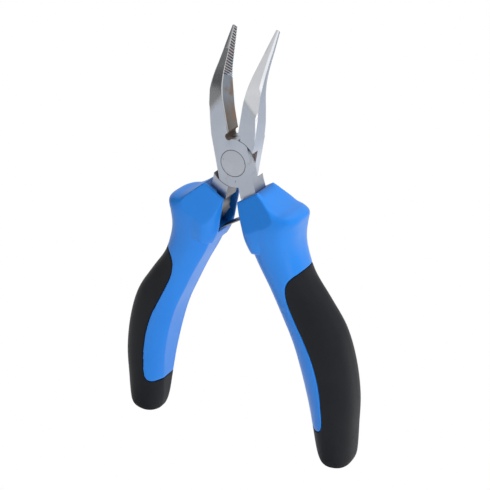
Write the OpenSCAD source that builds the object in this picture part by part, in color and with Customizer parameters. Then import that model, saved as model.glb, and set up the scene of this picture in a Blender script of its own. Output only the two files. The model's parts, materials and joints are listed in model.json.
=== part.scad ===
// Small bent-nose pliers with a lap joint, a flush rivet, a leaf return spring
// and two-material grips. Millimetres. +Z runs from the joint to the jaws along
// the line that halves the opening, +Y is the way the nose bends, and the origin
// is the centre of the rivet on the front face of the joint.

/* [Joint] */
// Width across the flats of the lap joint
joint_w = 10.6; // [10:0.1:11]
// Thickness of the joint from its front face to its back face
joint_t = 5.9; // [5.6:0.1:6.4]
// Radius of the round lap of each half
lap_r = 7; // [6.8:0.1:7.2]
// Radius of the flush rivet heads
rivet_head_r = 3.8; // [3.4:0.1:4]
// Thickness of the rivet heads
rivet_head_t = 1.2; // [0.8:0.1:1.6]
// Radius of the rivet shank
rivet_shank_r = 2.4; // [2:0.1:2.6]

/* [Opening] */
// Angle from the closed line to each half, as drawn
half_open = 10.35; // [6:0.05:14]
// Angle between the spring leaf and the tang that holds it, as drawn
leaf_open = 49; // [20:0.5:52]

/* [Nose] */
// Distance between the gripping teeth
tooth_pitch = 0.75; // [0.7:0.05:1.4]
// Depth of the gripping teeth
tooth_depth = 0.2; // [0.1:0.05:0.4]
// Radius of the relief at the root of the jaws
root_relief_r = 1; // [0.6:0.1:1.3]

/* [Spring] */
// Thickness of the spring strip
strip_t = 0.4; // [0.3:0.1:0.6]
// Width of the spring strip
strip_w = 5; // [4:0.1:6]
// Length of the free leaf from its bend to its tip
leaf_len = 9.6; // [8:0.1:9.8]
// Length of the leg that is buried in the grip
root_len = 7; // [5:0.5:8]

/* [Grips] */
// Thickness of the soft pad
pad_t = 1.9; // [1.4:0.1:2.2]
// Width of the spring slot in the inner side of the grip
slot_w = 8; // [7:0.1:8.4]

/* [Fits] */
// Gap between surfaces that slide on each other
running_gap = 0.05; // [0.03:0.01:0.08]
// Gap between pieces that are moulded or pressed together
seat_gap = 0.04; // [0.02:0.01:0.06]

/* [Detail] */
// Sides of a full circle
round_fn = 96; // [48:12:144]
// Points around the rounded back of a nose section
nose_points = 8; // [5:1:10]
// Points along a quarter of a grip section
arc_points = 4; // [3:1:5]

/* [Hidden] */

mid_y = joint_t / 2;
flat_x = joint_w / 2;
shoulder_r = lap_r + 2 * running_gap;
// How far the lap runs into the jaw and the tang behind the round shoulder
lap_overlap = 0.5;
// Larger than the whole object, for cuts that run right through it
reach = 200;

// Every half is described closed, with its jaw on the +X side and its handle on
// the -X side. Handle outlines give the distance from the closed line as
// positive numbers and are turned over with mirror().

// Nose sections from the joint to the tip, one row each:
// front edge y and z, back edge y and z (y from mid thickness), reach in x, width of
// the bevel along the outer front edge, squareness of the back (2 is an ellipse)
nose_rows = [
    [-mid_y, 8.5, mid_y, 8.5, flat_x, 0.05, 30],
    [-mid_y, 12.0, mid_y, 12.0, 5.12, 0.3, 20],
    [-mid_y, 15.0, 3.05, 14.7, 4.8, 0.5, 10],
    [-2.9, 18.0, 3.5, 17.3, 4.45, 0.6, 5],
    [-2.2, 20.9, 3.9, 19.4, 4.1, 0.65, 3.2],
    [-1.0, 23.2, 4.2, 21.2, 3.7, 0.65, 2.6],
    [0.5, 25.2, 4.7, 22.8, 3.25, 0.62, 2.3],
    [2.3, 27.2, 5.6, 25.0, 2.75, 0.6, 2.2],
    [4.2, 29.3, 7.0, 27.4, 2.25, 0.55, 2.2],
    [6.2, 31.5, 8.5, 29.9, 1.8, 0.5, 2.2],
    [8.1, 33.6, 10.0, 32.3, 1.3, 0.4, 2.3],
    [9.9, 35.5, 11.3, 34.5, 0.85, 0.3, 2.4]];
// Row of nose_rows at which the teeth start
teeth_row = 5.6;
nose_len = 30;
// Shares of the half thickness: the flat side behind the bevel, and where the teeth
// start and reach full depth behind the front edge
nose_side = 0.5;
tooth_start = 0.12;
tooth_full = 0.26;
// Depth to which the gripping side is hollowed behind its front edge
hollow = 0.02;
// The ground facet on the front of the nose: z at the closed line, and how fast it
// leaves the flat face along z and across x
grind_z = 18.3;
grind_lean = [0.19, 0.24];

// Grip sections from the collar to the end, one row each:
// inner x and z, outer x and z, half depth in y, flat share of the inner side,
// squareness of the outer side
grip_rows = [
    [0.3, -10.6, 7.1, -8.0, 8.2, 0.6, 9],
    [0.35, -13.0, 10.1, -11.2, 8.2, 0.6, 5.5],
    [0.5, -16.0, 13.3, -13.6, 8.2, 0.58, 3.9],
    [0.7, -18.4, 16.0, -14.6, 8.2, 0.56, 3.4],
    [1.0, -20.6, 17.7, -16.3, 8.2, 0.56, 3.1],
    [1.6, -23.0, 16.9, -19.2, 8.0, 0.56, 2.9],
    [2.6, -26.0, 15.9, -23.2, 7.6, 0.57, 2.8],
    [3.7, -29.8, 15.9, -27.8, 7.3, 0.58, 2.7],
    [6.0, -36.5, 17.2, -34.5, 7.1, 0.6, 2.6],
    [8.3, -44.5, 21.0, -42.5, 7.2, 0.6, 2.6],
    [10.4, -52.5, 24.6, -51.0, 7.4, 0.6, 2.6],
    [11.5, -61.0, 26.0, -61.0, 7.5, 0.58, 2.6],
    [11.9, -71.0, 25.7, -72.0, 7.4, 0.5, 2.6],
    [11.5, -80.5, 23.9, -82.0, 7.0, 0.35, 2.6],
    [11.3, -87.0, 22.7, -88.2, 6.6, 0.25, 2.6],
    [11.6, -90.6, 21.9, -91.3, 6.0, 0.2, 2.6],
    [12.4, -92.4, 20.8, -92.8, 4.9, 0.2, 2.6],
    [13.8, -93.2, 19.2, -93.4, 3.2, 0.2, 2.4],
    [16.1, -93.4, 16.9, -93.4, 0.5, 0.2, 2]];
// Sections of the spring housing on the inner side of the grip, in the same form
housing_rows = [
    [0.3, -10.6, 6.0, -9.0, 8.2, 0.6, 9],
    [0.35, -16.0, 8.0, -14.0, 8.2, 0.58, 6],
    [0.4, -20.6, 9.0, -18.0, 8.1, 0.56, 5],
    [1.0, -23.4, 9.0, -21.0, 7.9, 0.56, 5],
    [1.75, -25.7, 9.0, -24.0, 7.3, 0.58, 4]];
// The flat facets on the front and back of the guard: a point of the facet, and how
// fast it rises across x and along z
facet_at = [7.1, 5.0, -8.0];
facet_lean = [0.124, 0.324];
grip_steps = 2;

// Edge between the hard core and the soft pad, seen from the front
pad_edge = [
    [34, -29.5], [22, -30.2], [15.6, -31.6], [12.6, -34.2], [12.0, -38.6], [13.4, -44.6],
    [15.2, -50.4], [16.7, -55.6], [17.6, -61.5], [17.8, -67.0], [17.4, -72.5], [16.8, -77.2],
    [15.8, -79.6], [14.0, -80.2], [11.4, -79.2], [6, -77.8]];

// Centre line of the tang, with its half width as the third number
tang_rows = [
    [2.85, -6.0, 2.45], [3.2, -11.0, 2.7], [3.9, -16.0, 2.9], [6.6, -22.0, 2.8], [10.0, -32.0, 2.6],
    [13.8, -42.0, 2.4], [17.2, -52.0, 2.1], [18.8, -62.0, 1.8], [19.0, -66.0, 1.6]];
tang_core_t = 4.2;
tang_full_z = -15;

// Centre and radius of the scallop in the inner side of the tang in which the tip
// of the leaf slides
spring_seat = [-1.7, -13.9];
spring_seat_r = 3.5;

// Where the leaf leaves the grip
bend = [1.0, -21.0];
root_angle = 22;
root_top = strip_t / 2 + running_gap;
slot_depth = 3.2;
slot_bottom_z = -21.6;

// A point on the smooth curve through the rows, u counted in rows
function blend_rows(rows, u) =
    let (
        last = len(rows) - 1,
        i = min(floor(u), last - 1),
        f = u - i,
        p1 = rows[i],
        p2 = rows[i + 1],
        m1 = (p2 - rows[max(i - 1, 0)]) / 2,
        m2 = (rows[min(i + 2, last)] - p1) / 2)
    (2 * pow(f, 3) - 3 * pow(f, 2) + 1) * p1
        + (pow(f, 3) - 2 * pow(f, 2) + f) * m1
        + (3 * pow(f, 2) - 2 * pow(f, 3)) * p2
        + (pow(f, 3) - pow(f, 2)) * m2;

// Power that keeps the sign, with rounding noise taken as zero
function signed_pow(value, power) =
    abs(value) < 0.000001 ? 0 : sign(value) * pow(abs(value), power);

// Points of one nose section: flat front, bevelled outer edge, short flat side and
// rounded back. inner_x is the depth of the gripping face
function nose_section(row, inner_x) =
    let (
        mid = [row[0] + row[2], row[1] + row[3]] / 2,
        half = [row[2] - row[0], row[3] - row[1]] / 2,
        bevel = row[5] / norm(half),
        side_end = bevel - 1 + nose_side,
        outline = concat(
            [for (i = [0:nose_points])
                let (a = 90 - 90 * i / nose_points)
                [
                    row[4] * signed_pow(cos(a), 2 / row[6]),
                    side_end + (1 - side_end) * signed_pow(sin(a), 2 / row[6])]],
            [[row[4], bevel - 1], [row[4] - row[5], -1]],
            [for (y = [-1, tooth_start - 1, tooth_full - 1]) [0, y]]))
    [for (p = outline) [
        max(p[0], p[1] < tooth_full - 1 ? seat_gap : inner_x),
        mid_y + mid[0] + half[0] * p[1],
        mid[1] + half[1] * p[1]]];

// Half outline of a grip section, from its outer point round to its inner side:
// a boxy round outer side, then an ellipse cut off flat on the inner side
function half_ring(flat, square) =
    let (
        stretch = 1 / sqrt(1 - pow(flat, 2)),
        ridge = acos(-1 / stretch))
    concat(
        [for (i = [0:2 * arc_points - 1])
            let (a = 45 * i / arc_points)
            [pow(cos(a), 2 / square), pow(sin(a), 2 / square)]],
        [for (i = [0:arc_points])
            let (a = 90 + (ridge - 90) * i / arc_points)
            [stretch * cos(a), sin(a)]],
        [[-1, flat / 2]]);

// Points of one grip section, drawn in by inset
function grip_section(row, inset) =
    let (
        mid = [row[0] + row[2], row[1] + row[3]] / 2,
        half = [row[2] - row[0], row[3] - row[1]] / 2,
        scale_in = max(1 - inset / norm(half), 0.1),
        depth = max(row[4] - inset, 0.1 * row[4]),
        side = half_ring(row[5], row[6]),
        ring = concat(side, [[-1, 0]], [for (i = [len(side) - 1:-1:1]) [side[i][0], -side[i][1]]]))
    [for (p = ring) [
        mid[0] + half[0] * scale_in * p[0],
        mid_y + depth * p[1],
        mid[1] + half[1] * scale_in * p[0]]];

// Closed skin over a list of sections with the same number of points
module skin(sections) {
    n = len(sections[0]);
    last = len(sections) - 1;
    sides = [for (s = [0:last - 1], i = [0:n - 1], half = [0, 1])
        let (a = s * n + i, b = s * n + (i + 1) % n)
        half == 0 ? [a, b, b + n] : [a, b + n, a + n]];
    first_cap = [for (i = [n - 1:-1:0]) i];
    last_cap = [for (i = [0:n - 1]) last * n + i];
    polyhedron(points = [for (s = sections) each s], faces = concat(sides, [first_cap, last_cap]));
}

// Stands a drawing in x and z up between two values of y
module slab(y0, y1) {
    translate([0, y1, 0])
        rotate([90, 0, 0])
            linear_extrude(height = y1 - y0)
                children();
}

// Round bar along y at x = z = 0
module bar_y(r, y0, y1) {
    slab(y0, y1)
        circle(r, $fn = round_fn);
}

// Bar along y that goes right through the joint
module through_bar(r) {
    bar_y(r, -1, joint_t + 1);
}

// Turns a closed half to the drawn opening: side 1 is the rear half, -1 the front half
module opened(side) {
    rotate([0, side * half_open, 0])
        children();
}

// Half-round nose with teeth on its flat gripping side
module nose() {
    rows_smooth = [for (u = [0:0.5:teeth_row - 0.1]) [u, 0]];
    tooth_count = floor((len(nose_rows) - 1 - teeth_row) * nose_len
        / (len(nose_rows) - 1) / tooth_pitch);
    u_step = (len(nose_rows) - 1 - teeth_row) / (2 * tooth_count);
    rows_toothed = [for (i = [0:2 * tooth_count])
        [teeth_row + i * u_step, i % 2 * tooth_depth]];
    skin([for (k = concat(rows_smooth, rows_toothed))
        nose_section(blend_rows(nose_rows, k[0]), seat_gap + hollow + k[1])]);
}

// What grinding takes off the front of the nose
module nose_grind() {
    translate([0, mid_y + nose_rows[0][0], grind_z])
        multmatrix([
            [1, 0, 0, 0],
            [grind_lean[0], 1, grind_lean[1], 0],
            [0, 0, 1, 0],
            [0, 0, 0, 1]])
            translate([-reach / 2, -reach, -reach / 2])
                cube(reach);
}

// Flat outline of the jaw root, from inside the lap to the start of the nose
module jaw_root_outline() {
    polygon([[seat_gap, 3], [flat_x, 0], [flat_x, 8.55], [seat_gap, 8.55]]);
}

// Outline of the tang. grow widens it all round
module tang_outline(grow) {
    steps = [for (u = [0:0.5:len(tang_rows) - 1]) blend_rows(tang_rows, u)];
    offset(delta = grow)
        polygon(concat(
            [for (p = steps) [p[0] + p[2], p[1]]],
            [for (i = [len(steps) - 1:-1:0]) [steps[i][0] - steps[i][2], steps[i][1]]]));
}

// Root of the tang, from inside the lap down to the collar
module tang_root_outline() {
    polygon([[flat_x, 0], [flat_x, -6.5], [5.5, -8.5], [5.8, -11], [0.6, -11], [0.35, -6.5], [0.35, -3]]);
}

// Tang down the inside of the handle: full thickness at the top, thinner below
module tang(grow) {
    slab(-grow, joint_t + grow)
        intersection() {
            tang_outline(grow);
            translate([-reach / 2, tang_full_z - grow])
                square([reach, reach]);
        }
    slab(mid_y - tang_core_t / 2 - grow, mid_y + tang_core_t / 2 + grow)
        tang_outline(grow);
}

// One closed half. The lap fills y from lap_y0 to lap_y1, and head_y0 to head_y1 is its
// recess for the rivet head
module pliers_half(lap_y0, lap_y1, head_y0, head_y1, bore_gap) {
    difference() {
        union() {
            difference() {
                union() {
                    slab(0, joint_t) {
                        jaw_root_outline();
                        mirror([1, 0])
                            tang_root_outline();
                    }
                    mirror([1, 0, 0])
                        tang(0);
                }
                through_bar(shoulder_r);
            }
            slab(lap_y0, lap_y1)
                intersection() {
                    circle(lap_r, $fn = round_fn);
                    square([joint_w, 3 * lap_r], center = true);
                }
            slab(lap_y0, lap_y1)
                intersection() {
                    circle(shoulder_r + lap_overlap, $fn = round_fn);
                    union() {
                        jaw_root_outline();
                        mirror([1, 0])
                            tang_root_outline();
                    }
                }
            difference() {
                nose();
                nose_grind();
            }
        }
        translate([-spring_seat[0], 0, spring_seat[1]])
            through_bar(spring_seat_r);
        translate([0, 0, shoulder_r + root_relief_r / 2])
            through_bar(root_relief_r);
        through_bar(rivet_shank_r + bore_gap);
        bar_y(rivet_head_r + bore_gap, head_y0, head_y1);
    }
}

// Half with the left jaw and the right handle, turning on the rivet
module front_half() {
    color([0.66, 0.69, 0.74])
        opened(-1)
            mirror([1, 0, 0])
                pliers_half(0, mid_y - running_gap / 2, -1, rivet_head_t, running_gap);
}

// Half with the right jaw and the left handle, holding the rivet
module rear_half() {
    color([0.63, 0.66, 0.71])
        opened(1)
            pliers_half(mid_y + running_gap / 2, joint_t, joint_t - rivet_head_t, joint_t + 1,
                seat_gap);
}

// Rivet with two heads, flush with both faces of the joint
module pivot_rivet() {
    color([0.7, 0.73, 0.77]) {
        bar_y(rivet_head_r, 0, rivet_head_t - running_gap);
        bar_y(rivet_shank_r, 0, joint_t);
        bar_y(rivet_head_r, joint_t - rivet_head_t + running_gap, joint_t);
    }
}

// Leg of the spring in the left grip, running down from the bend
module spring_root_leg(grow) {
    translate([bend[0], 0, bend[1]])
        rotate([0, -root_angle, 0])
            translate([-strip_t / 2 - grow, mid_y - strip_w / 2 - grow, -root_len - grow])
                cube([strip_t + 2 * grow, strip_w + 2 * grow, root_len - root_top + 2 * grow]);
}

module spring_root() {
    color([0.36, 0.34, 0.33])
        opened(1)
            mirror([1, 0, 0])
                spring_root_leg(0);
}

// Free leaf of the spring, rounded at the bend and at the tip
module spring_leaf() {
    color([0.4, 0.38, 0.36])
        opened(1)
            translate([-bend[0], 0, bend[1]])
                rotate([0, leaf_open, 0])
                    slab(mid_y - strip_w / 2, mid_y + strip_w / 2) {
                        circle(strip_t / 2, $fn = round_fn / 4);
                        translate([-strip_t / 2, 0])
                            square([strip_t, leaf_len - strip_t / 2]);
                        translate([0, leaf_len - strip_t / 2])
                            circle(strip_t / 2, $fn = round_fn / 4);
                    }
}

// Skin over grip sections blended from rows
module grip_skin(rows, inset) {
    last = len(rows) - 1;
    skin([for (i = [0:last * grip_steps])
        grip_section(blend_rows(rows, i / grip_steps), inset)]);
}

// What the flat facet takes off the back of the guard
module guard_facet() {
    translate([facet_at[0], facet_at[1], facet_at[2]])
        multmatrix([
            [1, 0, 0, 0],
            [-facet_lean[0], 1, -facet_lean[1], 0],
            [0, 0, 1, 0],
            [0, 0, 0, 1]])
            translate([-reach / 2, 0, -reach / 2])
                cube(reach);
}

// Outer form of a whole grip, without its pocket
module grip_form() {
    difference() {
        union() {
            grip_skin(grip_rows, 0);
            grip_skin(housing_rows, 0);
        }
        translate([0, mid_y, 0]) {
            guard_facet();
            mirror([0, 1, 0])
                guard_facet();
        }
    }
}

// Everything on the soft side of the pad edge, pushed back by gap
module pad_side(gap) {
    last = len(pad_edge) - 1;
    slab(-reach / 2, reach / 2)
        offset(delta = -gap)
            polygon(concat(
                [for (u = [0:0.5:last]) blend_rows(pad_edge, u)],
                [[6, -reach / 2], [34, -reach / 2]]));
}

// Opening in the inner side of the grip for the leaf
module spring_slot() {
    translate([-1, mid_y - slot_w / 2, slot_bottom_z])
        cube([1 + slot_depth, slot_w, reach / 10]);
}

// Hard moulded core of a handle
module grip_core() {
    difference() {
        grip_form();
        difference() {
            pad_side(0);
            grip_skin(grip_rows, pad_t);
        }
        tang(seat_gap);
        spring_slot();
        spring_root_leg(seat_gap);
    }
}

// Soft pad moulded round the outer side and the end of a handle
module grip_pad() {
    difference() {
        intersection() {
            grip_form();
            pad_side(seat_gap);
        }
        grip_skin(grip_rows, pad_t - seat_gap);
    }
}

module left_grip_core() {
    color([0.16, 0.45, 0.82])
        opened(1)
            mirror([1, 0, 0])
                grip_core();
}

module left_grip_pad() {
    color([0.14, 0.15, 0.17])
        opened(1)
            mirror([1, 0, 0])
                grip_pad();
}

module right_grip_core() {
    color([0.16, 0.45, 0.82])
        opened(-1)
            grip_core();
}

module right_grip_pad() {
    color([0.14, 0.15, 0.17])
        opened(-1)
            grip_pad();
}

front_half();
rear_half();
pivot_rivet();
spring_root();
spring_leaf();
left_grip_core();
left_grip_pad();
right_grip_core();
right_grip_pad();
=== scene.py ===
import json
import math

import bmesh
import bpy
import numpy as np
from mathutils import Matrix, Vector


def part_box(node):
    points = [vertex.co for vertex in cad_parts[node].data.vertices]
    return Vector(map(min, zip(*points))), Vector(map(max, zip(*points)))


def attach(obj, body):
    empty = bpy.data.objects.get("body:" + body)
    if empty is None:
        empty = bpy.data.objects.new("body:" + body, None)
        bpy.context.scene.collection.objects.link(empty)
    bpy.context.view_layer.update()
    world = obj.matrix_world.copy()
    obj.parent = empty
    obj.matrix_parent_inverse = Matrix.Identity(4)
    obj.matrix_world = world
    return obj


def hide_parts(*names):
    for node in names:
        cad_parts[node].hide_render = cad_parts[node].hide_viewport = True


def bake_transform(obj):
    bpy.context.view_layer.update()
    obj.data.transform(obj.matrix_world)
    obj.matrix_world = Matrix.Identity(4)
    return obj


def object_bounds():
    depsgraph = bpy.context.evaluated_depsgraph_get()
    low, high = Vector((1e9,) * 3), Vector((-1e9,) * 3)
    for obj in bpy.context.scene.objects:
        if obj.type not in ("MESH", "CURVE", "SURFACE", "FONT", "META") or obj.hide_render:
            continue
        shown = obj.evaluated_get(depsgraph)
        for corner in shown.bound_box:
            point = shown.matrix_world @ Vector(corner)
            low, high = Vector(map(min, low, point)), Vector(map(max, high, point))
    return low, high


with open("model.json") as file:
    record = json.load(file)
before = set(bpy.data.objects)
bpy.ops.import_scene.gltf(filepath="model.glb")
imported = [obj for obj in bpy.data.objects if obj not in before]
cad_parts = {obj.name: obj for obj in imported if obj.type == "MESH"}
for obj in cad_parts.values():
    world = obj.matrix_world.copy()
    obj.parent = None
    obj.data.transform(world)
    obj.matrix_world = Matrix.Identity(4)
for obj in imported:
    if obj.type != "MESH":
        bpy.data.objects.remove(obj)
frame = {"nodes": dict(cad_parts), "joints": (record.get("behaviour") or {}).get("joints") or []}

CAD_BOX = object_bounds()
MM = 0.001

# The two halves open about the rivet. Half of the closing travel turns each one
# from its place at rest to the closed line.
PLIERS_JOINT = next(j for j in frame["joints"] if j["name"] == "pliers_joint")
HALF_OPEN = math.radians(-PLIERS_JOINT["range_deg"][0] / 2)
RIVET_LOW, RIVET_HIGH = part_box("pivot_rivet")
JOINT_MID = (RIVET_LOW + RIVET_HIGH) / 2
RIVET_R = (RIVET_HIGH[0] - RIVET_LOW[0]) / 2 / MM
# Radius of the shoulder round the lap, in millimetres
SHOULDER_R = 7.1
# Way in which the ground facet on the front of the nose faces in the closed pliers
GRIND_FACES = Vector((0.19, -1.0, 0.24)).normalized()


# ---------------------------------------------------------------- node helpers
class Nodes:
    """Short names for building a shader tree."""

    def __init__(self, tree):
        tree.nodes.clear()
        self.tree = tree

    def add(self, kind, inputs=None, **settings):
        made = self.tree.nodes.new(kind)
        for key, value in settings.items():
            setattr(made, key, value)
        for key, value in (inputs or {}).items():
            self.put(made, key, value)
        return made

    def put(self, made, key, value):
        if hasattr(value, "is_output"):
            self.tree.links.new(value, made.inputs[key])
        elif value is not None:
            made.inputs[key].default_value = value

    def math(self, operation, a, b=None):
        made = self.add("ShaderNodeMath", operation=operation)
        for i, value in enumerate((a, b)):
            if value is not None:
                self.put(made, i, value)
        return made.outputs[0]

    def times(self, first, *others):
        for other in others:
            first = self.math("MULTIPLY", first, other)
        return first

    def plus(self, first, *others):
        for other in others:
            first = self.math("ADD", first, other)
        return first

    def minus(self, a, b):
        return self.math("SUBTRACT", a, b)

    def size(self, value):
        return self.math("ABSOLUTE", value)

    def largest(self, first, *others):
        for other in others:
            first = self.math("MAXIMUM", first, other)
        return first

    def length(self, a, b):
        return self.math("SQRT", self.plus(self.times(a, a), self.times(b, b)))

    def step(self, value, low, high):
        """Soft step from 0 at low to 1 at high, either way round."""
        made = self.add("ShaderNodeMapRange", interpolation_type="SMOOTHSTEP")
        for key, v in (("Value", value), ("From Min", low), ("From Max", high)):
            self.put(made, key, v)
        return made.outputs[0]

    def mix(self, share, a, b):
        made = self.add("ShaderNodeMix", data_type="RGBA")
        for key, value in ((0, share), (6, a), (7, b)):
            self.put(made, key, value)
        return made.outputs[2]

    def noise(self, vector, scale, detail=3.0, roughness=0.5):
        inputs = {"Scale": scale, "Detail": detail, "Roughness": roughness}
        made = self.add("ShaderNodeTexNoise", inputs)
        self.put(made, "Vector", vector)
        return made.outputs[0]

    def stretched(self, vector, factors):
        made = self.add("ShaderNodeMapping", {"Scale": factors})
        self.put(made, "Vector", vector)
        return made.outputs[0]

    def bump(self, height, strength, distance, normal=None):
        inputs = {"Strength": strength, "Distance": distance, "Height": height}
        made = self.add("ShaderNodeBump", inputs)
        self.put(made, "Normal", normal)
        return made.outputs[0]

    def split(self, vector):
        made = self.add("ShaderNodeSeparateXYZ")
        self.put(made, 0, vector)
        return made.outputs

    def surface(self, inputs, normal=None):
        """Ends the tree in a principled surface."""
        shader = self.add("ShaderNodeBsdfPrincipled", inputs)
        self.put(shader, "Normal", normal)
        self.finish(shader.outputs[0])

    def finish(self, shader):
        out = self.add("ShaderNodeOutputMaterial")
        self.tree.links.new(shader, out.inputs[0])


def new_material(name):
    made = bpy.data.materials.new(name)
    made.use_nodes = True
    return made, Nodes(made.node_tree)


def rgb(r, g, b):
    return (r, g, b, 1.0)


def closed_frame(n, socket, side):
    """A place or a direction turned from rest to the closed pliers, with the jaw at +X."""
    turned = n.add("ShaderNodeVectorRotate", {"Angle": -side * HALF_OPEN}, rotation_type="Y_AXIS")
    n.put(turned, "Vector", socket)
    x, y, z = n.split(turned.outputs[0])
    return n.times(x, side), y, z


# ---------------------------------------------------------------- steel
# Places on a half are in millimetres in the closed pliers: x from the gripping face,
# z from the axis of the rivet, beyond_mid from mid thickness towards the back.
# The lower edge of the ground facet runs at z + FACET_SLOPE * x.
FACET_SLOPE = 0.8
FACET_COLOUR_EDGE = (17.6, 19.6)
FACET_SHADING_EDGE = (17.0, 20.0)
# Height above which the nose is curved, at z - CURVE_SLOPE * x
CURVE_SLOPE = 0.4
CURVE_EDGE = (22.0, 18.6)
TEETH_START = 23.6
RELIEF_Z = 7.6
GRINDING_LINES = (600, 600, 110)


def grease(n, base, place, share):
    """Brown specks of grease and rust where share is 1."""
    spots = n.noise(place, 900.0, 3.0, 0.6)
    stain = n.noise(place, 330.0, 4.0, 0.65)
    stained = n.times(n.step(stain, 0.56, 0.72), share, 0.35)
    base = n.mix(stained, base, rgb(0.3, 0.25, 0.2))
    return n.mix(n.times(n.step(spots, 0.64, 0.7), share), base, rgb(0.16, 0.11, 0.07))


def grinding_lines(n, place):
    return n.noise(n.stretched(place, GRINDING_LINES), 12.0, 3.0, 0.6)


class SteelHalf:
    """The shader tree of one half, with the place and the facing of the shaded point."""

    def __init__(self, name, side):
        self.made, self.n = new_material(name)
        self.side = side
        n = self.n
        coordinates = n.add("ShaderNodeTexCoord")
        self.place = coordinates.outputs["Object"]
        x, y, z = closed_frame(n, self.place, side)
        self.x, self.z = n.times(x, 1 / MM), n.times(z, 1 / MM)
        self.beyond_mid = n.minus(n.times(y, 1 / MM), JOINT_MID[1] / MM)
        self.facing_x, self.facing_y, _ = closed_frame(n, coordinates.outputs["Normal"], side)
        self.from_axis = n.length(self.x, self.z)
        self.tint = n.noise(self.place, 170.0, 3.0, 0.6)
        self.along_facet = n.plus(self.z, n.times(self.x, FACET_SLOPE))
        self.on_nose = n.times(
            n.step(self.along_facet, *FACET_COLOUR_EDGE), n.step(self.facing_y, -0.25, -0.5))

    def chamfer(self):
        """Share of the chamfer along the outer front edge of the jaw."""
        n = self.n
        return n.times(
            n.step(self.facing_x, 0.35, 0.55), n.step(self.facing_x, 0.92, 0.82),
            n.step(self.z, 9.0, 14.0), n.step(self.facing_y, -0.2, -0.4))


def ground_faces(half, chamfer):
    """Colour of the flat faces, the nose, the outer side and the chamfer, with painted shade towards
    the bottom and on the outer side, and a painted highlight on the chamfer.
    """
    n, z = half.n, half.z
    cloud = n.noise(half.place, 230.0, 4.0, 0.6)
    flat = n.mix(cloud, rgb(0.5, 0.54, 0.615), rgb(0.585, 0.62, 0.69))
    brushed = n.noise(n.stretched(half.place, (900, 300, 90)), 6.0, 2.0, 0.5)
    nose = n.mix(brushed, rgb(0.6, 0.6, 0.61), rgb(0.7, 0.7, 0.71))
    base = n.mix(half.on_nose, flat, nose)
    # Painted shade: the steel turns darker towards the bottom, below the rivet
    base = n.mix(n.times(n.step(z, 1.0, -6.0), 0.45), base, rgb(0.42, 0.45, 0.51))
    # Painted shade on the outer side of the jaw near the root
    outer = n.times(n.step(half.facing_x, 0.82, 0.95), n.step(z, 1.0, 9.0))
    base = n.mix(n.times(outer, 0.8), base, rgb(0.35, 0.39, 0.47))
    # Painted highlight: the chamfer along the outer front edge is coloured brighter, most of all
    # lower down
    polished = n.mix(n.step(z, 20.0, 26.0), rgb(0.78, 0.78, 0.79), rgb(0.66, 0.66, 0.68))
    return n.mix(chamfer, base, polished)


def gripping_side(half, base):
    """Blue-grey with rust, darker and browner towards the root as painted shade and a painted brown
    reflection, with a painted highlight along the gripping edge and rust with painted shade in the
    tooth grooves.
    """
    n, x, z, tint = half.n, half.x, half.z, half.tint
    # Painted shade and a painted brown reflection: darker and browner towards the root
    towards_root = n.step(n.plus(z, n.times(tint, 6.0)), 23.0, 15.5)
    colour = n.mix(towards_root, rgb(0.36, 0.4, 0.46), rgb(0.27, 0.235, 0.215))
    rust_patch = n.times(n.step(tint, 0.5, 0.66), n.step(z, 23.5, 20.0))
    colour = n.mix(rust_patch, colour, rgb(0.33, 0.22, 0.15))
    colour = n.mix(n.step(z, 30.0, 34.0), colour, rgb(0.62, 0.63, 0.66))
    # Painted highlight: a thin white line along the gripping edge
    painted_edge_highlight = n.step(x, 0.058, 0.048)
    colour = n.mix(painted_edge_highlight, colour, rgb(0.95, 0.95, 0.96))
    inwards = n.times(n.step(half.facing_x, -0.5, -0.75), n.step(z, 6.6, 7.2))
    base = n.mix(inwards, base, colour)
    # Rust grain with painted shade, near black, in the bottoms of the tooth grooves
    toothed = n.times(
        n.step(z, TEETH_START - 0.2, TEETH_START + 0.2), n.step(half.facing_x, -0.2, -0.35))
    grain = n.step(n.noise(half.place, 420.0, 2.0, 0.5), 0.45, 0.6)
    rust_and_groove_shade = n.mix(grain, rgb(0.06, 0.055, 0.055), rgb(0.16, 0.09, 0.065))
    return n.mix(n.times(toothed, n.step(x, 0.1, 0.19)), base, rust_and_groove_shade)


def tang_inside(half, base):
    """Inner side of the tang, dark brown: painted shade where it faces the spring slot."""
    n = half.n
    on_tang = n.times(n.step(half.facing_x, 0.5, 0.75), n.step(half.z, -5.8, -7.0))
    # Painted shade on the inner side of the tang
    brown = n.mix(half.tint, rgb(0.085, 0.073, 0.067), rgb(0.16, 0.145, 0.14))
    return n.mix(n.times(on_tang, 0.8), base, brown)


def ring(n, distance, radius, width):
    """1 on a thin ring of that radius, in millimetres."""
    return n.step(n.size(n.minus(distance, radius)), width, width * 0.4)


def seams_and_relief(half, base):
    """Dark seams round the rivet and the lap, brown painted shade in the relief at the root, and
    grease.
    """
    n, z, from_axis = half.n, half.z, half.from_axis
    beside_lap = n.step(n.times(half.beyond_mid, half.side), 0.5, -0.5)
    lap_seam = n.times(ring(n, from_axis, SHOULDER_R + 0.02, 0.13), beside_lap)
    seam = n.largest(ring(n, from_axis, RIVET_R + 0.04, 0.13), lap_seam)
    base = n.mix(n.times(seam, 0.75), base, rgb(0.055, 0.045, 0.04))
    # Painted shade: dark brown inside the relief at the root
    from_relief = n.length(half.x, n.minus(z, RELIEF_Z))
    relief = n.times(n.step(from_relief, 1.5, 1.15), n.step(n.size(half.facing_y), 0.7, 0.5))
    base = n.mix(n.times(relief, 0.9), base, rgb(0.1, 0.07, 0.05))
    around_rivet = n.step(n.size(n.minus(from_axis, 4.6)), 2.6, 0.8)
    near_joint = n.times(around_rivet, n.step(z, 2.5, -1.0), 0.9)
    at_collar = n.step(z, -8.6, -10.4)
    return grease(n, base, half.place, n.largest(near_joint, at_collar)), n.largest(seam, relief)


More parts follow.
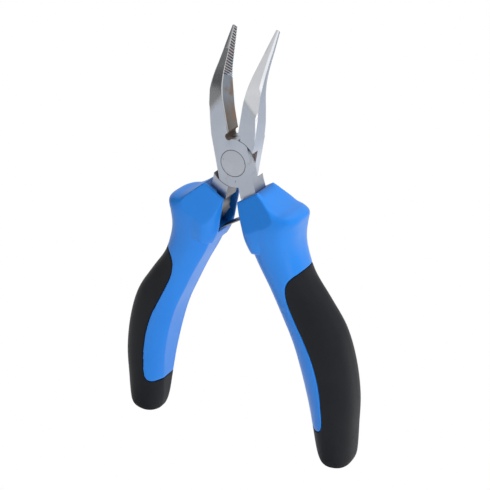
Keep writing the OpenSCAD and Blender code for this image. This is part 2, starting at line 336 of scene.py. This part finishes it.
def lap_walls(half, base):
    """Dark brown painted shade on the walls beside the lap and on the faces between the halves."""
    n, from_axis = half.n, half.from_axis
    at_wall = n.step(n.size(n.minus(from_axis, SHOULDER_R)), 0.35, 0.2)
    off_line = n.size(half.x)
    wall = n.times(
        at_wall, n.step(n.size(half.facing_y), 0.6, 0.4),
        n.step(off_line, 2.2, 3.2), n.step(off_line, 4.9, 4.2))
    # Painted shade on the walls beside the lap
    base = n.mix(n.times(wall, 0.85), base, rgb(0.1, 0.075, 0.055))
    # Brown painted shade on the faces between the halves
    between = n.times(
        n.step(n.size(half.beyond_mid), 0.25, 0.12), n.step(from_axis, 8.0, 7.5),
        n.step(n.size(half.facing_y), 0.7, 0.9))
    brown = n.mix(half.tint, rgb(0.07, 0.05, 0.04), rgb(0.27, 0.19, 0.14))
    return n.mix(n.times(between, 0.9), base, brown), n.largest(wall, between)


def front_normal(half):
    """The shading normal. On the flat front of the jaw it turns softly from that of the
    front face to that of the ground facet, as if the edge between them were polished."""
    n, side = half.n, half.side
    below_curve = n.step(n.minus(half.z, n.times(half.x, CURVE_SLOPE)), *CURVE_EDGE)
    in_front = n.times(
        n.step(half.facing_y, -0.6, -0.8), n.step(half.facing_x, 0.5, 0.4),
        below_curve, n.step(half.z, 8.0, 10.0))
    facet = n.add("ShaderNodeVectorRotate", {"Angle": side * HALF_OPEN}, rotation_type="Y_AXIS")
    n.put(facet, "Vector", (side * GRIND_FACES[0], GRIND_FACES[1], GRIND_FACES[2]))
    flat = n.add("ShaderNodeCombineXYZ", {"Y": -1.0})
    turn = n.step(half.along_facet, *FACET_SHADING_EDGE)
    world = n.add(
        "ShaderNodeVectorTransform", vector_type="NORMAL", convert_from="OBJECT", convert_to="WORLD")
    n.put(world, 0, n.mix(turn, flat.outputs[0], facet.outputs[0]))
    own = n.add("ShaderNodeNewGeometry").outputs["Normal"]
    return n.mix(in_front, own, world.outputs[0])


def tool_steel(name, side):
    """Ground steel of one half. side is 1 for the half whose jaw is at +X."""
    half = SteelHalf(name, side)
    n = half.n
    chamfer = half.chamfer()
    base = ground_faces(half, chamfer)
    base = gripping_side(half, base)
    base = tang_inside(half, base)
    base, seam_dirt_and_relief_shade = seams_and_relief(half, base)
    base, wall_painted_shade = lap_walls(half, base)
    # Dirt in the seams and the painted shade of the relief, the lap walls and the faces between the
    # halves, where the steel is also rougher and less metallic
    dirt_and_painted_shade = n.largest(seam_dirt_and_relief_shade, wall_painted_shade)
    lines = grinding_lines(n, half.place)
    low_chamfer = n.times(chamfer, n.step(half.z, 20.0, 16.5))
    polished = n.times(half.on_nose, n.minus(1.0, low_chamfer))
    roughness = n.plus(n.times(lines, 0.16), 0.27, n.times(dirt_and_painted_shade, 0.3))
    roughness = n.minus(roughness, n.times(polished, 0.14))
    metallic = n.minus(1.0, n.times(dirt_and_painted_shade, 0.6))
    normal = n.bump(lines, 0.14, 0.04 * MM, front_normal(half))
    n.surface({"Metallic": metallic, "Base Color": base, "Roughness": roughness}, normal)
    return half.made


def rivet_steel(name):
    """The rivet, ground flush with the joint, with grease in the ring around its head."""
    made, n = new_material(name)
    place = n.add("ShaderNodeTexCoord").outputs["Object"]
    x, _, z = n.split(place)
    from_axis = n.times(n.length(x, z), 1 / MM)
    lines = grinding_lines(n, place)
    cloud = n.noise(place, 380.0, 4.0, 0.6)
    base = n.mix(cloud, rgb(0.47, 0.5, 0.56), rgb(0.58, 0.605, 0.65))
    edge = n.step(from_axis, RIVET_R - 0.18, RIVET_R - 0.02)
    base = n.mix(n.times(edge, 0.7), base, rgb(0.09, 0.07, 0.055))
    base = grease(n, base, place, n.times(n.step(from_axis, 2.6, 3.6), 0.8))
    roughness = n.plus(n.times(lines, 0.16), 0.3, n.times(edge, 0.3))
    inputs = {"Metallic": 1.0, "Base Color": base, "Roughness": roughness}
    n.surface(inputs, n.bump(lines, 0.12, 0.04 * MM))
    return made


def spring_steel(name):
    """Dark tempered steel of the return spring."""
    made, n = new_material(name)
    place = n.add("ShaderNodeTexCoord").outputs["Object"]
    cloud = n.noise(place, 700.0, 3.0, 0.6)
    base = n.mix(cloud, rgb(0.2, 0.19, 0.19), rgb(0.36, 0.35, 0.35))
    n.surface({"Metallic": 1.0, "Base Color": base, "Roughness": 0.35})
    return made


# ---------------------------------------------------------------- plastic and rubber
def hard_plastic(name, side):
    """Glossy blue moulded plastic, in shade inside the spring slot."""
    made, n = new_material(name)
    place = n.add("ShaderNodeTexCoord").outputs["Object"]
    x, y, z = closed_frame(n, place, side)
    from_line, z = n.times(x, -1 / MM), n.times(z, 1 / MM)
    off_middle = n.size(n.minus(n.times(y, 1 / MM), JOINT_MID[1] / MM))
    in_slot = n.times(
        n.step(off_middle, SLOT_W / 2 + 0.05, SLOT_W / 2 - 0.1),
        n.step(z, SLOT_BOTTOM - 0.1, SLOT_BOTTOM + 0.3),
        n.step(from_line, 0.9, 2.6), n.step(from_line, 9.0, 6.0))
    cloud = n.noise(place, 90.0, 3.0, 0.5)
    grain = n.noise(place, 2600.0, 2.0, 0.5)
    base = n.mix(cloud, rgb(0.004, 0.168, 0.6), rgb(0.007, 0.19, 0.64))
    base = n.mix(n.times(in_slot, 0.75), base, rgb(0.001, 0.01, 0.06))
    roughness = n.plus(n.times(grain, 0.12), 0.3)
    inputs = {"Base Color": base, "Roughness": roughness, "IOR": 1.48}
    n.surface(inputs, n.bump(grain, 0.06, 0.08 * MM))
    return made


def soft_rubber(name):
    """Matt black rubber with a fine grain."""
    made, n = new_material(name)
    place = n.add("ShaderNodeTexCoord").outputs["Object"]
    cloud = n.noise(place, 110.0, 3.0, 0.5)
    grain = n.noise(place, 3200.0, 3.0, 0.6)
    base = n.mix(cloud, rgb(0.0045, 0.0048, 0.0068), rgb(0.008, 0.0085, 0.011))
    roughness = n.plus(n.times(grain, 0.2), 0.42)
    inputs = {"Base Color": base, "Roughness": roughness, "IOR": 1.28}
    n.surface(inputs, n.bump(grain, 0.18, 0.1 * MM))
    return made


# ---------------------------------------------------------------- mesh helpers
def blend_rows(rows, u):
    """A point on the smooth curve through the rows, u counted in rows."""
    last = len(rows) - 1
    i = min(int(u), last - 1)
    f = u - i
    p1, p2 = rows[i], rows[i + 1]
    m1 = (p2 - rows[max(i - 1, 0)]) / 2
    m2 = (rows[min(i + 2, last)] - p1) / 2
    return (
        (2 * f**3 - 3 * f**2 + 1) * p1
        + (f**3 - 2 * f**2 + f) * m1
        + (3 * f**2 - 2 * f**3) * p2
        + (f**3 - f**2) * m2
    )


def smooth_rows(rows, steps):
    """The rows with steps - 1 rows blended in between each pair."""
    rows = np.array(rows, float)
    return [blend_rows(rows, i / steps) for i in range((len(rows) - 1) * steps + 1)]


def make_object(name, points, faces):
    """A mesh object from points in millimetres."""
    mesh = bpy.data.meshes.new(name)
    mesh.from_pydata([tuple(float(c) * MM for c in p) for p in points], [], faces)
    mesh.validate()
    made = bpy.data.objects.new(name, mesh)
    bpy.context.scene.collection.objects.link(made)
    return made


def face_outwards(obj):
    bm = bmesh.new()
    bm.from_mesh(obj.data)
    bmesh.ops.recalc_face_normals(bm, faces=bm.faces)
    bm.to_mesh(obj.data)
    bm.free()
    return obj


def skin(name, sections):
    """Closed skin over sections with the same number of points."""
    n, last = len(sections[0]), len(sections) - 1
    faces = [
        (s * n + i, s * n + (i + 1) % n, (s + 1) * n + (i + 1) % n, (s + 1) * n + i)
        for s in range(last)
        for i in range(n)
    ]
    faces.append(tuple(range(n)))
    faces.append(tuple(last * n + i for i in range(n)))
    return face_outwards(make_object(name, np.concatenate(sections), faces))


def slab(name, outline, y0, y1):
    """An outline in x and z, made solid between two values of y."""
    n = len(outline)
    points = [(x, y0, z) for x, z in outline] + [(x, y1, z) for x, z in outline]
    faces = [(i, (i + 1) % n, n + (i + 1) % n, n + i) for i in range(n)]
    faces.append(tuple(range(n)))
    faces.append(tuple(range(n, 2 * n)))
    return face_outwards(make_object(name, points, faces))


def hull(name, points):
    """The smallest convex solid around the points."""
    made = make_object(name, points, [])
    bm = bmesh.new()
    bm.from_mesh(made.data)
    bmesh.ops.convex_hull(bm, input=bm.verts)
    bm.to_mesh(made.data)
    bm.free()
    return face_outwards(made)


def applied(obj):
    """Bakes the object's modifiers into its mesh."""
    depsgraph = bpy.context.evaluated_depsgraph_get()
    mesh = bpy.data.meshes.new_from_object(obj.evaluated_get(depsgraph))
    obj.modifiers.clear()
    old = obj.data
    obj.data = mesh
    bpy.data.meshes.remove(old)
    return obj


def combine(obj, other, operation):
    """obj joined with, or cut by, other."""
    change = obj.modifiers.new("change", "BOOLEAN")
    change.operation = operation
    change.object = other
    change.solver = "EXACT"
    applied(obj)
    bpy.data.objects.remove(other)
    return obj


def rounded(obj, voxel, passes):
    """Rebuilds the surface evenly and rounds its edges."""
    remesh = obj.modifiers.new("remesh", "REMESH")
    remesh.mode = "VOXEL"
    remesh.voxel_size = voxel * MM
    smooth = obj.modifiers.new("smooth", "SMOOTH")
    smooth.factor = 0.5
    smooth.iterations = passes
    applied(obj)
    for polygon in obj.data.polygons:
        polygon.use_smooth = True
    return obj


# ---------------------------------------------------------------- grips
# A handle is described as in the CAD, closed: x is the distance from the closed
# line, y is counted from mid thickness and z from the rivet, in millimetres.

# Inner x and z, outer x and z, half depth, flat share of the inner side and
# squareness of the outer side (2 is an ellipse, more is boxier)
HANDLE_ROWS = [
    [0.3, -10.6, 7.1, -8.0, 8.2, 0.6, 9],
    [0.35, -13.0, 10.1, -11.2, 8.2, 0.6, 5.5],
    [0.5, -16.0, 13.3, -13.6, 8.2, 0.58, 3.9],
    [0.7, -18.4, 16.0, -14.6, 8.2, 0.56, 3.4],
    [1.0, -20.6, 17.7, -16.3, 8.2, 0.56, 3.1],
    [1.6, -23.0, 16.9, -19.2, 8.0, 0.56, 2.9],
    [2.6, -26.0, 15.9, -23.2, 7.6, 0.57, 2.8],
    [3.7, -29.8, 15.9, -27.8, 7.3, 0.58, 2.7],
    [6.0, -36.5, 17.2, -34.5, 7.1, 0.6, 2.6],
    [8.3, -44.5, 21.0, -42.5, 7.2, 0.6, 2.6],
    [10.4, -52.5, 24.6, -51.0, 7.4, 0.6, 2.6],
    [11.5, -61.0, 26.0, -61.0, 7.5, 0.58, 2.6],
    [11.9, -71.0, 25.7, -72.0, 7.4, 0.5, 2.6],
    [11.5, -80.5, 23.9, -82.0, 7.0, 0.35, 2.6],
    [11.3, -87.0, 22.7, -88.2, 6.6, 0.25, 2.6],
    [11.6, -90.6, 21.9, -91.3, 6.0, 0.2, 2.6],
    [12.4, -92.4, 20.8, -92.8, 4.9, 0.2, 2.6],
    [13.8, -93.2, 19.2, -93.4, 3.2, 0.2, 2.4],
    [16.1, -93.4, 16.9, -93.4, 0.5, 0, 2]]
# The spring housing stands on the inner side of the upper handle
HOUSING_ROWS = [
    [0.3, -10.6, 6.0, -9.0, 8.2, 0.6, 9],
    [0.35, -16.0, 8.0, -14.0, 8.2, 0.58, 6],
    [0.4, -20.6, 9.0, -18.0, 8.1, 0.56, 5],
    [1.0, -23.4, 9.0, -21.0, 7.9, 0.56, 5],
    [1.75, -25.7, 9.0, -24.0, 7.3, 0.58, 4]]
# Three corners of the flat facet on the front of the guard
FRONT_FACET = [(0.3, -5.0, -10.6), (7.1, -5.0, -8.0), (12.4, -7.7, -14.3)]
# Edge between the hard core and the soft pad, x and z
PAD_EDGE = [
    [34, -29.5], [22, -30.2], [15.6, -31.6], [12.6, -34.2], [12.0, -38.6], [13.4, -44.6],
    [15.2, -50.4], [16.7, -55.6], [17.6, -61.5], [17.8, -67.0], [17.4, -72.5], [16.8, -77.2],
    [15.8, -79.6], [14.0, -80.2], [11.4, -79.2], [6, -77.8]]
# Centre line of the tang, with its half width as the third number
TANG_ROWS = [
    [2.85, -6.0, 2.5], [3.2, -11.0, 2.7], [3.9, -16.0, 2.9], [6.6, -22.0, 2.8], [10.0, -32.0, 2.6],
    [13.8, -42.0, 2.4], [17.2, -52.0, 2.1], [18.8, -62.0, 1.8], [19.0, -66.0, 1.6]]
TANG_HALF_T, UPPER_TANG_HALF_T, UPPER_TANG_Z = 2.15, 3.05, -15.5
# Slot for the spring in the inner side of the grip
SLOT_W, SLOT_DEPTH, SLOT_BOTTOM, SLOT_TOP = 8, 3.2, -21.6, -5
ARC_POINTS = 18
SEAM = 0.05
# Grid on which the moulded surfaces are rebuilt, and how much they are smoothed
VOXEL, CORE_PASSES, PAD_PASSES = 0.22, 7, 4


def grip_section(row):
    """Points of one section: a boxy round outer side and a flat inner side with two soft ridges."""
    inner_x, inner_z, outer_x, outer_z, depth, flat, square = row
    stretch = 1 / math.sqrt(1 - flat**2)
    ridge = math.acos(-1 / stretch)
    half = []
    for i in range(2 * ARC_POINTS):
        a = math.pi / 2 * i / (2 * ARC_POINTS)
        half.append((math.cos(a) ** (2 / square), math.sin(a) ** (2 / square)))
    for i in range(ARC_POINTS + 1):
        a = math.pi / 2 + (ridge - math.pi / 2) * i / ARC_POINTS
        half.append((stretch * math.cos(a), math.sin(a)))
    half += [(-1, flat * (1 - i / 6)) for i in range(1, 6)]
    ring = [(x, y) for x, y in half] + [(-1, 0)] + [(x, -y) for x, y in half[:0:-1]]
    return [(
        (inner_x + outer_x) / 2 + (outer_x - inner_x) / 2 * across,
        depth * y,
        (inner_z + outer_z) / 2 + (outer_z - inner_z) / 2 * across) for across, y in ring]


def beyond_plane(name, corners, turned_over):
    """A block that fills the front side of the plane through three corners."""
    p, q, r = (Vector(c) for c in corners)
    along = (q - p).normalized()
    out = (q - p).cross(r - p).normalized()
    if out.y > 0:
        out = -out
    across = out.cross(along)
    reach = 30
    points = [
        p + reach * (i * along + j * across) + k * reach * out
        for i in (-1, 1) for j in (-1, 1) for k in (0, 1)]
    if turned_over:
        points = [(x, -y, z) for x, y, z in points]
    return hull(name, points)


def grip_body(name):
    """Outer form of a whole handle."""
    body = skin(name, [grip_section(row) for row in smooth_rows(HANDLE_ROWS, 6)])
    housing = skin("housing", [grip_section(row) for row in smooth_rows(HOUSING_ROWS, 4)])
    combine(body, housing, "UNION")
    for turned_over in (False, True):
        combine(body, beyond_plane("facet", FRONT_FACET, turned_over), "DIFFERENCE")
    return body


def pad_region(name, gap):
    """Everything on the soft side of the pad edge, moved by gap towards the pad."""
    edge = [(row[0], row[1]) for row in smooth_rows(PAD_EDGE, 5)]
    moved = []
    for i, (x, z) in enumerate(edge):
        x0, z0 = edge[max(i - 1, 0)]
        x1, z1 = edge[min(i + 1, len(edge) - 1)]
        length = math.hypot(x1 - x0, z1 - z0)
        moved.append((x - (z1 - z0) / length * gap, z + (x1 - x0) / length * gap))
    return slab(name, moved + [(6, -110), (40, -110), (40, -30)], -12, 12)


def tang_pocket(name):
    """Room for the steel tang in the hard core."""
    rows = smooth_rows(TANG_ROWS, 3)
    outline = [(r[0] + r[2] + SEAM, r[1]) for r in rows]
    outline += [(r[0] - r[2] - SEAM, r[1]) for r in reversed(rows)]
    upper = [p for p in outline if p[1] > UPPER_TANG_Z]
    pocket = slab(name, outline, -TANG_HALF_T, TANG_HALF_T)
    return combine(pocket, slab("upper", upper, -UPPER_TANG_HALF_T, UPPER_TANG_HALF_T), "UNION")


def grip_pieces():
    """Hard core and soft pad of one handle, in the closed place of the handle at +X."""
    core = grip_body("core")
    pad = grip_body("pad")
    combine(core, pad_region("region", -SEAM), "DIFFERENCE")
    combine(pad, pad_region("region", SEAM), "INTERSECT")
    combine(core, tang_pocket("pocket"), "DIFFERENCE")
    slot = [(-1, SLOT_BOTTOM), (SLOT_DEPTH, SLOT_BOTTOM), (SLOT_DEPTH, SLOT_TOP), (-1, SLOT_TOP)]
    combine(core, slab("slot", slot, -SLOT_W / 2, SLOT_W / 2), "DIFFERENCE")
    return rounded(core, VOXEL, CORE_PASSES), rounded(pad, VOXEL, PAD_PASSES)


def at_rest(side):
    """From the closed place of the handle at +X to its place at rest. side is 1 for the
    handle at +X and -1 for the other."""
    place = Matrix.Rotation(-side * HALF_OPEN, 4, "Y") @ Matrix.Diagonal((side, 1, 1, 1))
    return Matrix.Translation((0, JOINT_MID.y, 0)) @ place


def place_grip(template, name, side, material, node, body):
    """A copy of a handle piece at its place at rest."""
    made = template.copy()
    made.data = template.data.copy()
    made.name = name
    bpy.context.scene.collection.objects.link(made)
    made.data.transform(at_rest(side))
    if side < 0:
        made.data.flip_normals()
    paint(made, material)
    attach(made, body)
    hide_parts(node)
    return made


# ---------------------------------------------------------------- spring
# The strip leaves the grip at the bend. Angles are from the closed line, downwards
# into the grip and upwards to the tip.
ROOT_ANGLE, LEAF_ANGLE = math.radians(22), math.radians(49)
BEND = np.array((1.0, -21.0))
INTO_GRIP = np.array((math.sin(ROOT_ANGLE), -math.cos(ROOT_ANGLE)))
TO_TIP = np.array((-math.sin(LEAF_ANGLE), math.cos(LEAF_ANGLE)))
ROOT_LEN, LEAF_LEN = 7.0, 9.6
STRIP_T, STRIP_W = 0.4, 5.0
# How far the rounded bend reaches along each leg, and the thinned end of the leaf
CURVE = 1.3
TIP_LEN = 0.15


def strip_section(centre, along, thickness):
    """Eight points around the strip, with its corners taken off."""
    across = np.array((along[1], -along[0])) / np.linalg.norm(along)
    t, w, cut = thickness / 2, STRIP_W / 2, thickness / 4
    corners = [(-t + cut, -w), (t - cut, -w), (t, -w + cut), (t, w - cut)]
    corners += [(-a, -y) for a, y in corners]
    return [(centre[0] + a * across[0], y, centre[1] + a * across[1]) for a, y in corners]


def spring_strip(material):
    """The return spring as one strip that bends where it leaves the grip."""
    start, end = BEND + CURVE * INTO_GRIP, BEND + CURVE * TO_TIP
    centres = [BEND + ROOT_LEN * INTO_GRIP]
    for t in np.linspace(0, 1, 13):
        centres.append((1 - t) ** 2 * start + 2 * t * (1 - t) * BEND + t**2 * end)
    centres += [BEND + (LEAF_LEN - TIP_LEN) * TO_TIP, BEND + LEAF_LEN * TO_TIP]
    sections = []
    for i, centre in enumerate(centres):
        along = centres[min(i + 1, len(centres) - 1)] - centres[max(i - 1, 0)]
        thickness = STRIP_T if i < len(centres) - 1 else STRIP_T / 2
        sections.append(strip_section(centre, along, thickness))
    made = skin("return_spring", sections)
    made.data.transform(at_rest(-1))
    made.data.flip_normals()
    paint(made, material)
    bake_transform(made)
    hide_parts("spring_root", "spring_leaf")


# ---------------------------------------------------------------- pieces
def paint(obj, material):
    obj.data.materials.clear()
    obj.data.materials.append(material)


# How far the edges of the steel are broken, and how sharp an edge has to be for that
EDGE_BREAK = 0.1 * MM
EDGE_ANGLE = math.radians(28)


def soften(obj):
    """Joins the split corners of a CAD mesh, rounds its edges and smooths its shading."""
    weld = obj.modifiers.new("weld", "WELD")
    weld.merge_threshold = 0.000002
    bevel = obj.modifiers.new("bevel", "BEVEL")
    bevel.width = EDGE_BREAK
    bevel.segments = 3
    bevel.limit_method = "ANGLE"
    bevel.angle_limit = EDGE_ANGLE
    normals = obj.modifiers.new("normals", "WEIGHTED_NORMAL")
    normals.mode = "FACE_AREA_WITH_ANGLE"
    normals.weight = 50
    for polygon in obj.data.polygons:
        polygon.use_smooth = True


NODES = frame["nodes"]
paint(NODES["front_half"], tool_steel("steel_front_half", -1))
paint(NODES["rear_half"], tool_steel("steel_rear_half", 1))
paint(NODES["pivot_rivet"], rivet_steel("steel_rivet"))
spring_strip(spring_steel("steel_spring"))
BLACK = soft_rubber("rubber_black")
for name in ("front_half", "rear_half", "pivot_rivet"):
    soften(NODES[name])

CORE, PAD = grip_pieces()
for side_name, side, body in (("left", -1, "rear"), ("right", 1, "front")):
    blue = hard_plastic("plastic_" + side_name, -side)
    for template, kind, material, node in (
            (CORE, "hard_grip", blue, "_grip_core"), (PAD, "soft_grip", BLACK, "_grip_pad")):
        place_grip(template, side_name + "_" + kind, side, material, side_name + node, body)
bpy.data.objects.remove(CORE)
bpy.data.objects.remove(PAD)


# ---------------------------------------------------------------- floor, light and camera
FLOOR_HALF = 3.0
FLOOR_GAP = 0.2 * MM


def floor():
    """A white floor that looks evenly white to the camera and lights the pliers softly."""
    height = CAD_BOX[0][2] - FLOOR_GAP
    mesh = bpy.data.meshes.new("floor")
    corners = [(-1, -1), (1, -1), (1, 1), (-1, 1)]
    points = [(x * FLOOR_HALF, y * FLOOR_HALF, height) for x, y in corners]
    mesh.from_pydata(points, [], [(0, 1, 2, 3)])
    made = bpy.data.objects.new("floor", mesh)
    bpy.context.scene.collection.objects.link(made)
    material, n = new_material("floor_paint")
    glow = n.add("ShaderNodeEmission", {"Color": rgb(1, 1, 1), "Strength": 1.0})
    matt = n.add("ShaderNodeBsdfDiffuse", {"Color": rgb(0.9, 0.9, 0.9)})
    seen = n.add("ShaderNodeLightPath").outputs["Is Camera Ray"]
    paint_mix = n.add("ShaderNodeMixShader")
    for key, value in enumerate((seen, matt.outputs[0], glow.outputs[0])):
        n.put(paint_mix, key, value)
    n.finish(paint_mix.outputs[0])
    mesh.materials.append(material)


def lobe(n, direction, facing, edge, full, strength):
    """strength where direction is closer to facing than full, and 0 beyond edge (cosines)."""
    dot = n.add("ShaderNodeVectorMath", operation="DOT_PRODUCT")
    n.put(dot, 0, direction)
    dot.inputs[1].default_value = Vector(facing).normalized()
    return n.times(n.step(dot.outputs["Value"], edge, full), strength)


# Soft boxes, and one dark card with a negative strength, that show only in reflections.
# They were placed for the tones of the steel as the camera sees it: direction, cosines
# at the edge and where it is full, strength
REFLECTIONS = [
    ((0.79, -0.44, -0.36), 0.88, 0.97, 0.65),
    ((0.88, 0.0, 0.4), 0.88, 0.97, 0.65),
    ((-0.05, -0.95, 0.3), 0.8, 0.97, 0.3),
    ((-0.15, -0.5, 0.85), 0.9, 0.98, 0.25),
    ((-0.85, -0.4, 0.35), 0.8, 0.93, -0.56),
    ((-0.48, -0.82, -0.31), 0.75, 1.0, 0.14),
    ((0.3, 0.83, -0.47), 0.9, 1.0, 0.1),
    ((0.08, 0.82, 0.57), 0.8, 1.0, 0.3)]


SURROUND = 0.49
MIRRORED_SURROUND = 0.66
SEEN_SURROUND = 1.1


def studio_world():
    """An even pale surround, with the soft boxes added for glossy rays only."""
    world = bpy.data.worlds.new("studio")
    bpy.context.scene.world = world
    world.use_nodes = True
    n = Nodes(world.node_tree)
    direction = n.add("ShaderNodeTexCoord").outputs["Generated"]
    mirrored = MIRRORED_SURROUND
    for facing, edge, full, strength in REFLECTIONS:
        mirrored = n.plus(mirrored, lobe(n, direction, facing, edge, full, strength))
    ray = n.add("ShaderNodeLightPath").outputs
    level = n.plus(SURROUND, n.times(ray["Is Glossy Ray"], n.minus(mirrored, SURROUND)))
    # Beyond the floor the camera sees the same white as on it
    level = n.plus(level, n.times(ray["Is Camera Ray"], SEEN_SURROUND))
    background = n.add("ShaderNodeBackground", {"Color": rgb(0.96, 0.98, 1.0)})
    n.put(background, "Strength", level)
    out = n.add("ShaderNodeOutputWorld")
    n.tree.links.new(background.outputs[0], out.inputs[0])


# Point below the rivet at which the lamps aim, seen from the middle of the joint
LAMP_AIM = Vector((0, 0, -0.03))


def area_light(name, place, size, power):
    """A lamp that lights the pliers but isn't mirrored in the steel."""
    data = bpy.data.lights.new(name, "AREA")
    data.shape = "DISK"
    data.size = size
    data.energy = power
    made = bpy.data.objects.new(name, data)
    bpy.context.scene.collection.objects.link(made)
    made.location = JOINT_MID + Vector(place)
    aim = JOINT_MID + LAMP_AIM - made.location
    made.rotation_euler = aim.to_track_quat("-Z", "Y").to_euler()
    made.visible_glossy = False


# Camera, found by matching the outline of the pliers: turn to the left, tilt downwards,
# roll, distance from the middle of the joint, and how far that is off the line of sight
CAM_TURN, CAM_TILT, CAM_ROLL = (math.radians(a) for a in (29.07, 24.88, -0.31))
CAM_DISTANCE = 0.3158
AIM_RIGHT, AIM_DOWN = 0.00186, 0.02337
SENSOR, LENS = 36, 84.25


def camera():
    level_x, level_y = -math.sin(CAM_TURN), math.cos(CAM_TURN)
    drop = math.cos(CAM_TILT)
    ahead = Vector((level_x * drop, level_y * drop, -math.sin(CAM_TILT)))
    flat_right = Vector((level_y, -level_x, 0))
    flat_up = flat_right.cross(ahead)
    right = flat_right * math.cos(CAM_ROLL) + flat_up * math.sin(CAM_ROLL)
    up = flat_up * math.cos(CAM_ROLL) - flat_right * math.sin(CAM_ROLL)
    data = bpy.data.cameras.new("camera")
    data.sensor_width = SENSOR
    data.lens = LENS
    made = bpy.data.objects.new("camera", data)
    bpy.context.scene.collection.objects.link(made)
    place = JOINT_MID + AIM_RIGHT * right - AIM_DOWN * up - CAM_DISTANCE * ahead
    axes = Matrix((right, up, -ahead)).transposed().to_4x4()
    made.matrix_world = Matrix.Translation(place) @ axes
    bpy.context.scene.camera = made


floor()
studio_world()
area_light("key_light", (0.4, -0.3, 0.0), 0.3, 1.9)
area_light("top_light", (0.1, 0.22, 0.42), 0.3, 2.1)
camera()
bpy.context.scene.view_settings.view_transform = "Standard"
